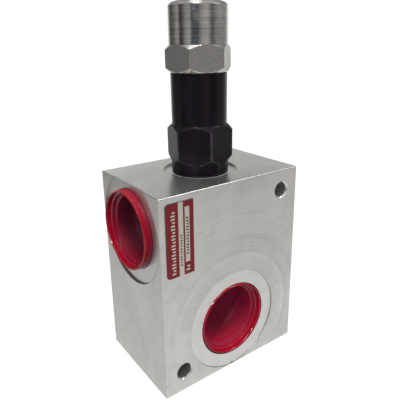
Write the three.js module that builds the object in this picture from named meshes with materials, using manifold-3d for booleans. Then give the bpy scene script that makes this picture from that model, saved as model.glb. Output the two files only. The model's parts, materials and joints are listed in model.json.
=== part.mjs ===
// Adjustable relief cartridge valve in a two-port aluminium body.
// Millimetres, +Z up. The origin is the centre of the block's bottom face. The cartridge's axis is the Z axis.
// The pressure port is in the front face (-Y) and the tank port in the left face (-X).

import * as THREE from 'three';
import { mergeVertices } from 'three/addons/utils/BufferGeometryUtils.js';
import Module from 'manifold-3d';

const wasm = await Module();
wasm.setup();

// ---------------------------------------------------------------- driving dimensions

const GAP = 0.3; // clearance kept between pieces that touch on the real valve
const FINE = 40; // facets round a visible piece
const COARSE = 20; // facets round a small or inner piece

// block
const BLOCK = { width: 76.2, depth: 50.8, height: 93, edge: 0.5 };
const FRONT = -BLOCK.depth / 2;
const LEFT = -BLOCK.width / 2;
const BOLT_HOLES = { radius: 3.55, countersink: 0.6, places: [[28.1, 83.1], [-28.2, 9.9]] };

// ports, the same thread in both faces
const PRESSURE_PORT = { z: 25, spotDepth: 0.4 };
const TANK_PORT = { z: 72.3, spotDepth: 0.9 };
const PORT = { spot: 24.5, mouth: 18.1, pocket: 17.9, pocketDepth: 4.4, bore: 15.9, boreDepth: 20 };

// cartridge cavity, from the block's top face down
const TOP_SPOT = { radius: 17.2, depth: 0.9 };
const SPOT_Z = BLOCK.height - TOP_SPOT.depth;
const CAVITY = { thread: 11, threadEnd: 80, annulus: 10, annulusEnd: 64.6, nose: 7.95, noseEnd: 55, drill: 6.35 };

// cartridge outside
const HEX = { flats: 26.2, corner: 15.1, turn: THREE.MathUtils.degToRad(-165.7), low: 97.5, high: 114.2 };
const BARREL = { radius: 12.6, top: 136.9 };
const SPIGOT = { radius: 9.9, top: 149.5 };
const SHANK_RADIUS = CAVITY.thread - GAP;

// bores up the middle of the cartridge
const SPRING_BORE = 7.6;
const SCREW = { radius: 4.75, hole: 5.05, foot: 127, top: 158.5 };

// seal cap
const CAP = {
  flats: 25.8,
  turn: THREE.MathUtils.degToRad(-140.5),
  foot: BARREL.top + GAP,
  top: 166,
  radius: 12.9,
  bore: 10.2,
};

// shipping plugs
const PLUG = { lip: 17.75, length: 18, wall: 1.3, floor: 1.4, proud: 3.4 };

// nameplate on the front face
const PLATE = { left: -35.3, right: -22, low: 57.8, high: 90.2, thickness: 0.3, lift: 0.05 };

// ---------------------------------------------------------------- shape helpers

// A geometry holding positions only, its shared corners merged and its collapsed triangles dropped.
function clean(geometry) {
  const bare = geometry.clone();
  bare.deleteAttribute('normal');
  bare.deleteAttribute('uv');
  const merged = mergeVertices(bare, 1e-4);
  const corners = merged.index.array;
  const kept = [];
  for (let i = 0; i < corners.length; i += 3) {
    const [a, b, c] = corners.slice(i, i + 3);
    if (a !== b && b !== c && c !== a) kept.push(a, b, c);
  }
  merged.setIndex(kept);
  return merged;
}

function toSolid(geometry) {
  const tidy = clean(geometry);
  return new wasm.Manifold(new wasm.Mesh({
    numProp: 3,
    vertProperties: new Float32Array(tidy.attributes.position.array),
    triVerts: new Uint32Array(tidy.index.array),
  }));
}

function toGeometry(solid) {
  const mesh = solid.getMesh();
  const geometry = new THREE.BufferGeometry();
  geometry.setAttribute('position', new THREE.BufferAttribute(mesh.vertProperties.slice(), 3));
  geometry.setIndex(Array.from(mesh.triVerts));
  return geometry;
}

// A body turned about Z from an outline of [radius, z] corners, which starts and ends on the axis
// or is closed on itself. The outline may run either way round.
function turned(outline, facets = COARSE) {
  const onAxis = outline[0][0] === 0;
  const loop = onAxis ? outline : [...outline, outline[0]];
  let area = 0;
  for (let i = 0; i < outline.length; i += 1) {
    const [r0, z0] = outline[i];
    const [r1, z1] = outline[(i + 1) % outline.length];
    area += r0 * z1 - r1 * z0;
  }
  const ordered = area > 0 ? loop : [...loop].reverse();
  const points = ordered.map(([r, z]) => new THREE.Vector2(r, z));
  return clean(new THREE.LatheGeometry(points, facets).rotateX(Math.PI / 2));
}

// A ring of rectangular section.
function washer(inner, outer, low, high, facets = COARSE) {
  return turned([[inner, low], [outer, low], [outer, high], [inner, high]], facets);
}

// A ring of round section about Z.
function oRing(middle, section, z) {
  return clean(new THREE.TorusGeometry(middle, section, 6, COARSE).translate(0, 0, z));
}

// A hexagonal bar about Z, given its size across flats and the turn of its first corner.
function hexBar(flats, turn, low, high) {
  const reach = flats / Math.sqrt(3);
  const shape = new THREE.Shape();
  for (let i = 0; i < 6; i += 1) {
    const angle = turn + (i * Math.PI) / 3;
    const method = i === 0 ? 'moveTo' : 'lineTo';
    shape[method](reach * Math.cos(angle), reach * Math.sin(angle));
  }
  shape.closePath();
  return new THREE.ExtrudeGeometry(shape, { depth: high - low, bevelEnabled: false }).translate(0, 0, low);
}

// A hexagonal bar whose two ends are turned down to a cone.
function chamferedHex(flats, turn, outline) {
  const ends = outline.map(([, z]) => z);
  const bar = hexBar(flats, turn, Math.min(...ends) - 1, Math.max(...ends) + 1);
  return toSolid(bar).intersect(toSolid(turned(outline, FINE)));
}

// Turns a shape made along +Z to lie along +Y or along +X.
const alongY = (geometry) => geometry.rotateX(-Math.PI / 2);
const alongX = (geometry) => geometry.rotateY(Math.PI / 2);

// ---------------------------------------------------------------- the block

// The room cut for a port, along +Z from the block's face at z = 0.
function portTool(spotDepth, drill, drillEnd) {
  const { spot, mouth, pocket, pocketDepth, bore, boreDepth } = PORT;
  return turned([
    [0, -1],
    [spot, -1],
    [spot, spotDepth],
    [mouth, spotDepth],
    [pocket, pocketDepth],
    [bore, pocketDepth + 1.2],
    [bore, boreDepth],
    [drill, boreDepth + 2.2],
    [drill, drillEnd],
    [0, drillEnd],
  ], FINE);
}

function cavityTool() {
  const { thread, threadEnd, annulus, annulusEnd, nose, noseEnd, drill } = CAVITY;
  return turned([
    [0, BLOCK.height + 1],
    [TOP_SPOT.radius, BLOCK.height + 1],
    [TOP_SPOT.radius, SPOT_Z],
    [12.3, SPOT_Z],
    [11.6, SPOT_Z - 2.4],
    [thread, SPOT_Z - 3],
    [thread, threadEnd],
    [annulus, threadEnd - 1],
    [annulus, annulusEnd],
    [nose, annulusEnd - 0.8],
    [nose, noseEnd],
    [drill, noseEnd - 1],
    [drill, PRESSURE_PORT.z],
    [0, PRESSURE_PORT.z - 3],
  ], FINE);
}

// A mounting hole from front to back, countersunk a little at both faces.
function boltHoleTool() {
  const { radius, countersink } = BOLT_HOLES;
  const wide = radius + countersink;
  return turned([
    [0, -1],
    [wide + 1, -1],
    [radius, countersink],
    [radius, BLOCK.depth - countersink],
    [wide + 1, BLOCK.depth + 1],
    [0, BLOCK.depth + 1],
  ], COARSE);
}

function valveBlock() {
  const { width, depth, height, edge } = BLOCK;
  const x = width / 2;
  const y = depth / 2;
  const shape = new THREE.Shape();
  const corners = [[1, 1], [-1, 1], [-1, -1], [1, -1]];
  corners.forEach(([sx, sy], i) => {
    const near = [sx * (x - edge), sy * (y - 2 * edge)];
    const far = [sx * (x - 2 * edge), sy * (y - edge)];
    const pair = i % 2 === 0 ? [near, far] : [far, near];
    pair.forEach(([px, py], j) => (i + j === 0 ? shape.moveTo(px, py) : shape.lineTo(px, py)));
  });
  shape.closePath();
  const bevel = { bevelEnabled: true, bevelSegments: 1, bevelSize: edge, bevelThickness: edge };
  const billet = new THREE.ExtrudeGeometry(shape, { depth: height - 2 * edge, ...bevel });
  let block = toSolid(billet.translate(0, 0, edge));

  const pressure = portTool(PRESSURE_PORT.spotDepth, 10, 33.4);
  block = block.subtract(toSolid(alongY(pressure).translate(0, FRONT, PRESSURE_PORT.z)));
  const tank = portTool(TANK_PORT.spotDepth, 7, -LEFT);
  block = block.subtract(toSolid(alongX(tank).translate(LEFT, 0, TANK_PORT.z)));
  block = block.subtract(toSolid(cavityTool()));
  for (const [px, pz] of BOLT_HOLES.places) {
    block = block.subtract(toSolid(alongY(boltHoleTool()).translate(px, FRONT, pz)));
  }
  return toGeometry(block);
}

// The foil plate, its two left corners rounded.
function nameplate() {
  const { left, right, low, high, thickness, lift } = PLATE;
  const width = right - left;
  const height = high - low;
  const corner = 1.6;
  const shape = new THREE.Shape();
  shape.moveTo(width, 0);
  shape.lineTo(width, height);
  shape.lineTo(corner, height);
  shape.absarc(corner, height - corner, corner, Math.PI / 2, Math.PI, false);
  shape.lineTo(0, corner);
  shape.absarc(corner, corner, corner, Math.PI, 1.5 * Math.PI, false);
  shape.closePath();
  const foil = new THREE.ExtrudeGeometry(shape, { depth: thickness, bevelEnabled: false, curveSegments: 4 });
  return clean(foil.rotateX(Math.PI / 2).translate(left, FRONT - lift, low));
}

// ---------------------------------------------------------------- the shipping plugs

// A thin cup with a lip, open at z = 0 and running in along +Z.
function shippingPlug() {
  const { lip, length, wall, floor } = PLUG;
  const body = 15.4;
  const tip = 15;
  return turned([
    [0, length],
    [tip - 0.6, length],
    [tip, length - 0.6],
    [body, 4.6],
    [lip - 0.9, 4.2],
    [lip - 0.15, 3.6],
    [lip, 0.4],
    [lip - 0.3, 0],
    [lip - 1, 0],
    [lip - wall, 0.4],
    [lip - wall - 0.2, 3.2],
    [body - wall, 5],
    [tip - wall, length - floor - 0.6],
    [tip - wall - 0.6, length - floor],
    [0, length - floor],
  ], FINE);
}

// ---------------------------------------------------------------- the cartridge

// One piece: threaded shank, collar, hex, barrel and the threaded spigot that the cap screws on to.
function cartridgeBody() {
  const hex = chamferedHex(HEX.flats, HEX.turn, [
    [0, HEX.low - 0.5],
    [13.1, HEX.low - 0.5],
    [13.1, HEX.low],
    [HEX.corner, HEX.low + 2.6],
    [HEX.corner, HEX.high - 2.3],
    [BARREL.radius + 0.1, HEX.high],
    [0, HEX.high],
  ]);
  const outside = turned([
    [0, 79.2],
    [9.4, 79.2],
    [9.6, 79.5],
    [9.6, 80.6],
    [SHANK_RADIUS, 81.4],
    [SHANK_RADIUS, SPOT_Z - 3.1],
    [9.5, SPOT_Z - 2.4],
    [9.5, SPOT_Z + GAP],
    [12.8, SPOT_Z + GAP],
    [13.1, SPOT_Z + 0.6],
    [13.1, HEX.low + 0.5],
    [12, HEX.low + 1],
    [12, HEX.high - 0.5],
    [BARREL.radius, HEX.high + 0.4],
    [BARREL.radius, BARREL.top - 0.3],
    [BARREL.radius - 0.3, BARREL.top],
    [SPIGOT.radius - 0.8, BARREL.top],
    [SPIGOT.radius - 0.8, BARREL.top + 1.6],
    [SPIGOT.radius, BARREL.top + 2.4],
    [SPIGOT.radius, SPIGOT.top - 0.8],
    [SPIGOT.radius - 0.8, SPIGOT.top],
    [0, SPIGOT.top],
  ], FINE);
  const inside = turned([
    [0, 78],
    [8.75, 78],
    [8.75, 82.85],
    [9.2, 82.85],
    [9.2, 84.15],
    [8.75, 84.15],
    [8.75, 87],
    [SPRING_BORE, 87.6],
    [SPRING_BORE, 130.4],
    [SPRING_BORE - 0.6, 131],
    [SCREW.hole, 131],
    [SCREW.hole, SPIGOT.top - 0.6],
    [SCREW.hole + 0.8, SPIGOT.top + 0.2],
    [SCREW.hole + 0.8, SPIGOT.top + 1],
    [0, SPIGOT.top + 1],
  ], COARSE);
  return toGeometry(toSolid(outside).add(hex).subtract(toSolid(inside)));
}

// The sleeve: a nose that seals in the block, a pocket for the seat, a bore for the poppet and cross holes.
function cage() {
  const nose = CAVITY.nose - GAP;
  const outside = turned([
    [4, 56],
    [nose - 0.8, 56],
    [nose, 56.8],
    [nose, 57.4],
    [5.9, 57.4],
    [5.9, 62.2],
    [nose, 62.2],
    [nose, 65.2],
    [8.45, 66],
    [8.45, 82.85],
    [7.8, 82.85],
    [7.8, 84.15],
    [8.45, 84.15],
    [8.45, 86.4],
    [8.1, 86.75],
    [6.5, 86.75],
    [6.5, 70.5],
    [5.9, 70.5],
    [5.9, 64.2],
    [4, 64.2],
  ]);
  let sleeve = toSolid(outside);
  const pairs = 3;
  for (let i = 0; i < pairs; i += 1) {
    const hole = new THREE.CylinderGeometry(2.1, 2.1, 24, 12);
    hole.rotateZ((i * Math.PI) / pairs).translate(0, 0, 73);
    sleeve = sleeve.subtract(toSolid(hole));
  }
  return toGeometry(sleeve);
}

// The hard seat ring, chamfered at 45 degrees where the poppet's cone lands.
function valveSeat() {
  return turned([[3.4, 64.5], [5.6, 64.5], [5.6, 70.2], [4.6, 70.2], [3.4, 69]]);
}

// The poppet: a 45 degree cone under a guided body with two balance grooves.
function poppet() {
  const body = 6.2;
  return turned([
    [0, 67.5],
    [1.6, 67.5],
    [body, 72.1],
    [body, 76],
    [body - 0.5, 76.2],
    [body - 0.5, 77],
    [body, 77.2],
    [body, 79.2],
    [body - 0.5, 79.4],
    [body - 0.5, 80.2],
    [body, 80.4],
    [body, 83.6],
    [body - 0.4, 84],
    [2, 84],
    [0, 82.6],
  ]);
}

function lowerSpringSeat() {
  return turned([
    [0, 83.1],
    [1.6, 84.3],
    [5.8, 84.3],
    [6, 84.5],
    [6, 86.1],
    [5.8, 86.3],
    [3.2, 86.3],
    [3.2, 90.4],
    [2.6, 91],
    [0, 91],
  ]);
}

// The main spring's centre line: two close end turns and open working turns between them.
class SpringLine extends THREE.Curve {
  constructor({ radius, low, high, turns, endTurns, endPitch }) {
    super();
    Object.assign(this, { radius, low, high, turns, endTurns, endPitch });
  }

  getPoint(t, target = new THREE.Vector3()) {
    const turn = t * this.turns;
    const open = this.turns - 2 * this.endTurns;
    const openPitch = (this.high - this.low - 2 * this.endTurns * this.endPitch) / open;
    const first = Math.min(turn, this.endTurns);
    const middle = Math.min(Math.max(turn - this.endTurns, 0), open);
    const last = Math.max(turn - this.endTurns - open, 0);
    const z = this.low + (first + last) * this.endPitch + middle * openPitch;
    const angle = 2 * Math.PI * turn;
    return target.set(this.radius * Math.cos(angle), this.radius * Math.sin(angle), z);
  }
}

function mainSpring() {
  const wire = 1.1;
  const line = new SpringLine({
    radius: 4.7,
    low: 86.7 + wire,
    high: 118.3 - wire,
    turns: 8.5,
    endTurns: 1,
    endPitch: 2 * wire + 0.15,
  });
  const sides = 6;
  const section = new THREE.Shape();
  for (let i = 0; i < sides; i += 1) {
    const angle = (i * 2 * Math.PI) / sides;
    const method = i === 0 ? 'moveTo' : 'lineTo';
    section[method](wire * Math.cos(angle), wire * Math.sin(angle));
  }
  section.closePath();
  const steps = 12 * 8.5;
  return clean(new THREE.ExtrudeGeometry(section, { steps, extrudePath: line, bevelEnabled: false }));
}

// The upper spring seat, which is also the sealed piston that the adjusting screw pushes down.
function adjusterPiston() {
  return turned([
    [0, 114],
    [2.6, 114],
    [3.2, 114.6],
    [3.2, 118.7],
    [7, 118.7],
    [7.25, 119],
    [7.25, 120.6],
    [5.4, 120.6],
    [5.4, 124.5],
    [7.25, 124.5],
    [7.25, 125.7],
    [7, 126],
    [2.4, 126],
    [2.4, 124.9],
    [0, 124.2],
  ]);
}

function thrustBall() {
  return clean(new THREE.SphereGeometry(2, 12, 8).rotateX(Math.PI / 2).translate(0, 0, 126.8));
}

// The adjusting screw, with a pocket for the ball in its foot and a hexagon socket in its head.
function adjustingScrew() {
  const { radius, foot, top } = SCREW;
  const blank = turned([
    [0, foot + 2.4],
    [2.4, foot + 2.4],
    [2.4, foot],
    [radius - 0.8, foot],
    [radius, foot + 0.8],
    [radius, top - 0.8],
    [radius - 0.8, top],
    [0, top],
  ]);
  const socket = hexBar(5, 0, top - 5.5, top + 1);
  return toGeometry(toSolid(blank).subtract(toSolid(socket)));
}

// A thin nut with a recess for its seal ring underneath.
function lockNut() {
  const low = SPIGOT.top + GAP;
  const high = low + 5.5;
  const hex = chamferedHex(16, 0, [
    [0, low],
    [8.1, low],
    [9.4, low + 0.75],
    [9.4, high - 0.75],
    [8.1, high],
    [0, high],
  ]);
  const hole = turned([
    [0, low - 1],
    [7, low - 1],
    [7, low + 1.4],
    [SCREW.hole, low + 1.4],
    [SCREW.hole, high + 1],
    [0, high + 1],
  ]);
  return toGeometry(hex.subtract(toSolid(hole)));
}

function sealCap() {
  const { foot, top, radius, bore } = CAP;
  const hex = chamferedHex(CAP.flats, CAP.turn, [
    [0, foot],
    [radius, foot],
    [14.9, foot + 2],
    [14.9, foot + 9.3],
    [radius, foot + 11.2],
    [0, foot + 11.2],
  ]);
  const barrel = turned([
    [0, foot + 1],
    [radius, foot + 1],
    [radius, top - 1.9],
    [radius - 0.7, top - 1.1],
    [radius - 1.8, top - 0.4],
    [radius - 3, top],
    [0, top],
  ], FINE);
  const inside = turned([
    [0, foot - 1],
    [bore + 0.4, foot - 1],
    [bore, foot + 0.4],
    [bore, foot + 0.6],
    [11.4, foot + 0.6],
    [11.4, foot + 2],
    [bore, foot + 2.6],
    [bore, top - 4],
    [bore - 0.6, top - 3.4],
    [0, top - 3.4],
  ], FINE);
  return toGeometry(hex.add(toSolid(barrel)).subtract(toSolid(inside)));
}

// ---------------------------------------------------------------- materials and assembly

const finish = (color, roughness, metalness) => ({ color, roughness, metalness });
const ALUMINIUM = finish(0xb9b6ae, 0.55, 0.7);
const RED_PLASTIC = finish(0xc01028, 0.3, 0);
const RED_FOIL = finish(0x93202a, 0.45, 0.2);
const BLACK_STEEL = finish(0x1c1a1d, 0.35, 0.6);
const BRIGHT_STEEL = finish(0x8c8a83, 0.3, 1);
const SPRING_STEEL = finish(0x6b665e, 0.35, 1);
const BLACK_RUBBER = finish(0x151515, 0.6, 0);
const WHITE_PTFE = finish(0xe6e2d6, 0.5, 0);

const valve = new THREE.Group();
valve.name = 'cartridge_valve';

function add(name, geometry, look) {
  const mesh = new THREE.Mesh(geometry, new THREE.MeshStandardMaterial(look));
  mesh.name = name;
  valve.add(mesh);
  return mesh;
}

add('valve_block', valveBlock(), ALUMINIUM);
add('nameplate', nameplate(), RED_FOIL);

const pressurePlug = add('pressure_port_plug', shippingPlug(), RED_PLASTIC);
pressurePlug.rotation.x = -Math.PI / 2;
pressurePlug.position.set(0, FRONT, PRESSURE_PORT.z);

const tankPlug = add('tank_port_plug', shippingPlug(), RED_PLASTIC);
tankPlug.rotation.y = Math.PI / 2;
tankPlug.position.set(LEFT - PLUG.proud, 0, TANK_PORT.z);

add('cartridge_body', cartridgeBody(), BLACK_STEEL);
add('collar_o_ring', oRing(10.65, 0.85, SPOT_Z - 1.1), BLACK_RUBBER);
add('cage', cage(), BRIGHT_STEEL);
add('cage_snap_ring', washer(8.05, 8.95, 83.15, 83.85), SPRING_STEEL);
add('nose_o_ring', oRing(6.95, 0.75, 59.8), BLACK_RUBBER);
add('nose_backup_ring_lower', washer(6.2, 7.7, 57.7, 58.7), WHITE_PTFE);
add('nose_backup_ring_upper', washer(6.2, 7.7, 60.9, 61.9), WHITE_PTFE);
add('valve_seat', valveSeat(), BRIGHT_STEEL);
add('poppet', poppet(), BRIGHT_STEEL);
add('lower_spring_seat', lowerSpringSeat(), BRIGHT_STEEL);
add('main_spring', mainSpring(), SPRING_STEEL);
add('adjuster_piston', adjusterPiston(), BRIGHT_STEEL);
add('piston_o_ring', oRing(6.5, 0.8, 121.7), BLACK_RUBBER);
add('piston_backup_ring', washer(5.7, 7.3, 123, 124.2), WHITE_PTFE);
add('thrust_ball', thrustBall(), BRIGHT_STEEL);
add('adjusting_screw', adjustingScrew(), BRIGHT_STEEL);
add('lock_nut_seal', washer(5.3, 6.7, SPIGOT.top + 0.25, SPIGOT.top + 1.4), WHITE_PTFE);
add('lock_nut', lockNut(), BRIGHT_STEEL);
add('cap_o_ring', oRing(10.75, 0.5, CAP.foot + 1.3), BLACK_RUBBER);
add('seal_cap', sealCap(), BRIGHT_STEEL);

export default valve;
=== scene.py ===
"""Looks for a cartridge relief valve in its two-port aluminium block.

Outlines are in millimetres as (radius, height) corners. The height is measured from the lowest point of the
CAD node that the piece stands for, unless the function says otherwise. Materials read the object's own
coordinates, which are the frame's, in metres.
"""

import math

import bmesh
import bpy
import numpy as np
from mathutils import Matrix, Vector
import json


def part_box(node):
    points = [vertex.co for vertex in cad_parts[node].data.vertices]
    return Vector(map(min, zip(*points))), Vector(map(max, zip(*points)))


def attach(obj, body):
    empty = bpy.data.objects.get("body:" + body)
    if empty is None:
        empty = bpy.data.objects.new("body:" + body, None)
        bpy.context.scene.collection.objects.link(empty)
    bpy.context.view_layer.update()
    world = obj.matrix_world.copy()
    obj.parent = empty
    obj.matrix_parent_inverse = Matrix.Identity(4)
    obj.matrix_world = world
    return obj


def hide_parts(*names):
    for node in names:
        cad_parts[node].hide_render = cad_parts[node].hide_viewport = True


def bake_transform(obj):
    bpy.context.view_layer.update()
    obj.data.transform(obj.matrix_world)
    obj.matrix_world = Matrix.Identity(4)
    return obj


MM = 0.001
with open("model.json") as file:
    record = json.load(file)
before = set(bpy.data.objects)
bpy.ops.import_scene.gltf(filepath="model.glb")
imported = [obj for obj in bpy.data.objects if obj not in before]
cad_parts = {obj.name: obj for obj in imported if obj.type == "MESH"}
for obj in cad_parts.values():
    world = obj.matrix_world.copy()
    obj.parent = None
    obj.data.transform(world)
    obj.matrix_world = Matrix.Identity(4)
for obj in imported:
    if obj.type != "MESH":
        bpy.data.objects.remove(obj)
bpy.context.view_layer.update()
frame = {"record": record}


def box_mm(node):
    """A CAD node's lowest and highest corners, in millimetres."""
    low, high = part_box(node)
    return low / MM, high / MM


BLOCK_LOW, BLOCK_HIGH = box_mm("valve_block")
PLATE_LOW, PLATE_HIGH = box_mm("nameplate")
PRESSURE_LOW, PRESSURE_HIGH = box_mm("pressure_port_plug")
TANK_LOW, TANK_HIGH = box_mm("tank_port_plug")
PRESSURE_AXIS = (PRESSURE_LOW + PRESSURE_HIGH) / 2
TANK_AXIS = (TANK_LOW + TANK_HIGH) / 2
BLOCK_TOP = BLOCK_HIGH.z
FRONT = BLOCK_LOW.y
LEFT = BLOCK_LOW.x

# features of the block, as in the CAD
PORT_SPOT = 24.5
PORT_MOUTH = 18.1
TOP_SPOT = 17.2
TOP_SPOT_DEPTH = 0.9
BOLT_HOLES = [(28.1, 83.1), (-28.2, 9.9)]
BOLT_HOLE_RADIUS = 3.55
EDGE_BREAK = 0.5

# threads: pitches of the ports, of the cartridge, and of the cap, screw and nut, and rows to a pitch
PORT_PITCH = 2.117
CARTRIDGE_PITCH = 1.814
FINE_PITCH = 1.5
THREAD_ROWS = 9

# width of the narrow strip beside a hexagon's cut edge, which keeps its shading crisp
EDGE_STRIP = 0.22

# hexagons: across flats, and the turn of the first corner
BODY_HEX = (26.2, math.radians(-165.7))
CAP_HEX = (25.8, math.radians(-140.5))
NUT_HEX = (16.0, 0.0)
SOCKET_HEX = (5.0, 0.0)

# ---------------------------------------------------------------- camera, stage and light

EYE = Vector((-115.45, -160.6, 149.58)) * MM
AIM_DEGREES = (72.83, 0.71, -36.23)
LENS = 39.46
SHIFT = (-0.006, -0.0569)

# brightness of the studio that the reflections see: by height (0 straight down, 0.5 level, 1 straight up),
# and near the horizon by heading (0 and 1 are -X, 0.25 is -Y, 0.5 is +X)
STUDIO_HEIGHT = [
    (0.0, 1.1), (0.28, 0.83), (0.42, 0.5), (0.62, 0.30), (0.74, 0.30), (0.9, 0.62), (1.0, 0.8),
]
STUDIO_BANDS = [
    (0.0, 0.28), (0.03, 0.56), (0.07, 0.5), (0.09, 0.13), (0.15, 0.14), (0.19, 0.5), (0.25, 0.66),
    (0.3, 0.11), (0.36, 0.41), (0.46, 0.42), (0.53, 0.55), (0.57, 1.4), (0.61, 0.75), (0.65, 0.8),
    (0.69, 1.2), (0.74, 0.9), (0.79, 0.12), (0.86, 0.19), (0.92, 0.56), (0.95, 0.05), (0.98, 0.08),
    (1.0, 0.28),
]
# tints of the same bands: a blue wall, and warm ones either side of it
STUDIO_TINTS = [
    (0.0, (1.0, 0.98, 0.96)), (0.08, (0.95, 1.0, 1.05)), (0.13, (0.77, 0.94, 1.19)),
    (0.17, (1.0, 1.0, 1.0)), (0.23, (1.04, 1.0, 0.95)), (0.36, (1.0, 1.0, 1.0)),
    (0.42, (1.14, 0.99, 0.95)), (0.5, (1.0, 1.0, 1.0)), (0.86, (1.0, 1.0, 1.0)),
    (0.91, (0.99, 0.99, 1.04)), (0.96, (1.15, 0.98, 0.92)), (1.0, (1.0, 0.98, 0.96)),
]
# how far from level a reflection leaves the walls, and is all in the ramp by height
HORIZON = (0.12, 0.38)
DIFFUSE_FILL = 0.2


def make_camera():
    data = bpy.data.cameras.new("camera")
    data.lens = LENS
    data.sensor_width = 36
    data.shift_x, data.shift_y = SHIFT
    data.clip_start = 0.01
    camera = bpy.data.objects.new("camera", data)
    camera.location = EYE
    camera.rotation_euler = [math.radians(a) for a in AIM_DEGREES]
    bpy.context.scene.collection.objects.link(camera)
    bpy.context.scene.camera = camera


def area_light(name, place, aim, size, power, colour=(1, 1, 1)):
    data = bpy.data.lights.new(name, "AREA")
    data.shape = "RECTANGLE"
    data.size, data.size_y = size
    data.energy = power
    data.color = colour
    light = bpy.data.objects.new(name, data)
    light.location = place
    light.rotation_euler = (Vector(aim) - Vector(place)).to_track_quat("-Z", "Y").to_euler()
    bpy.context.scene.collection.objects.link(light)


def make_floor():
    """White paper just under the base. It lights nothing and is not mirrored."""
    size, gap = 3.0, 0.0002
    corners = [(-size, -size, 0), (size, -size, 0), (size, size, 0), (-size, size, 0)]
    mesh = bpy.data.meshes.new("floor")
    mesh.from_pydata(corners, [], [(0, 1, 2, 3)])
    floor = bpy.data.objects.new("floor", mesh)
    bpy.context.scene.collection.objects.link(floor)
    floor.location.z = -gap
    tree = Tree("floor_paper", (0.2, 0.2, 0.2), 0.9, Emission_Strength=0.93, Emission_Color=(1, 1, 1, 1))
    cloud = tree.noise(6, detail=2)
    tree.colour(tree.ramp(cloud, [(0.3, (0.2, 0.2, 0.2)), (0.7, (0.22, 0.22, 0.22))]))
    mesh.materials.append(tree.material)
    floor.visible_glossy = False
    floor.visible_diffuse = False


def make_world():
    """White to the eye. Reflections see tinted walls near the horizon and a ramp by height elsewhere."""
    world = bpy.data.worlds.new("studio")
    bpy.context.scene.world = world
    world.use_nodes = True
    world.node_tree.nodes.clear()
    tree = Nodes(world.node_tree)
    x, y, z = tree.split(tree.nodes.new("ShaderNodeTexCoord").outputs["Generated"])

    def grey(stops):
        return [(place, (level, level, level)) for place, level in stops]

    height = tree.math("MULTIPLY_ADD", z, 0.5, 0.5)
    heading = tree.math("MULTIPLY_ADD", tree.math("ARCTAN2", y, x), 0.5 / math.pi, 0.5)
    above = tree.minus(tree.math("ABSOLUTE", z), HORIZON[0])
    away = tree.math("DIVIDE", above, HORIZON[1] - HORIZON[0], clamp=True)
    near = tree.minus(1.0, away)
    walls = tree.times(near, tree.ramp(heading, grey(STUDIO_BANDS)))
    studio = tree.plus(tree.times(away, tree.ramp(height, grey(STUDIO_HEIGHT))), walls)

    rays = tree.nodes.new("ShaderNodeLightPath").outputs
    diffuse, seen = rays["Is Diffuse Ray"], rays["Is Camera Ray"]
    unseen = tree.minus(1.0, seen)
    lit = tree.plus(tree.times(diffuse, DIFFUSE_FILL), tree.times(tree.minus(1.0, diffuse), studio))
    level = tree.plus(tree.times(lit, unseen), seen)
    tints = tree.ramp(heading, STUDIO_TINTS)
    back = tree.nodes.new("ShaderNodeBackground")
    tree.links.new(tree.blend(tree.times(near, unseen), level, tints, "MULTIPLY"), back.inputs["Color"])
    output = tree.nodes.new("ShaderNodeOutputWorld")
    tree.links.new(back.outputs["Background"], output.inputs["Surface"])


def make_lights():
    aim = (0, 0, 0.08)
    area_light("key", (-0.25, -0.32, 0.85), aim, (0.3, 0.3), 3.2)
    area_light("lamp", (-0.42, -0.3, 0.42), aim, (0.035, 0.035), 0.9)
    area_light("edge_strip", (0.5, -0.42, 0.6), aim, (0.12, 0.5), 1.6)
    area_light("overhead", (0.0, 0.1, 0.9), aim, (0.35, 0.35), 0.8)


# ---------------------------------------------------------------- materials


class Nodes:
    """A node tree, with short names for the nodes that the world and the materials share."""

    def __init__(self, node_tree):
        self.nodes = node_tree.nodes
        self.links = node_tree.links

    def plug(self, source, socket):
        """Joins an output to a socket, or sets the socket when the source is a number."""
        if isinstance(source, (int, float)):
            socket.default_value = source
        else:
            self.links.new(source, socket)

    def split(self, source):
        node = self.nodes.new("ShaderNodeSeparateXYZ")
        self.links.new(source, node.inputs[0])
        return node.outputs

    def math(self, operation, a, b=0.0, c=0.0, clamp=False):
        node = self.nodes.new("ShaderNodeMath")
        node.operation = operation
        node.use_clamp = clamp
        for source, socket in zip((a, b, c), node.inputs):
            self.plug(source, socket)
        return node.outputs[0]

    def times(self, product, *factors):
        for factor in factors:
            product = self.math("MULTIPLY", product, factor)
        return product

    def plus(self, a, b, clamp=False):
        return self.math("ADD", a, b, clamp=clamp)

    def minus(self, a, b):
        return self.math("SUBTRACT", a, b)

    def square(self, value):
        return self.times(value, value)

    def distance(self, a, b):
        return self.math("POWER", self.plus(self.square(a), self.square(b)), 0.5)

    def ramp(self, factor, stops):
        """A colour for each value, from [(position, (r, g, b))]."""
        node = self.nodes.new("ShaderNodeValToRGB")
        elements = node.color_ramp.elements
        while len(elements) < len(stops):
            elements.new(0.5)
        for element, (position, colour) in zip(elements, stops):
            element.position = position
            element.color = (*colour, 1)
        self.links.new(factor, node.inputs["Fac"])
        return node.outputs["Color"]

    def blend(self, factor, a, b, kind="MIX"):
        """Mixes two colours, which may be outputs or (r, g, b)."""
        node = self.nodes.new("ShaderNodeMix")
        node.data_type = "RGBA"
        node.blend_type = kind
        self.plug(factor, node.inputs["Factor"])
        for source, socket in ((a, node.inputs[6]), (b, node.inputs[7])):
            if isinstance(source, tuple):
                socket.default_value = (*source, 1)
            else:
                self.links.new(source, socket)
        return node.outputs[2]


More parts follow.
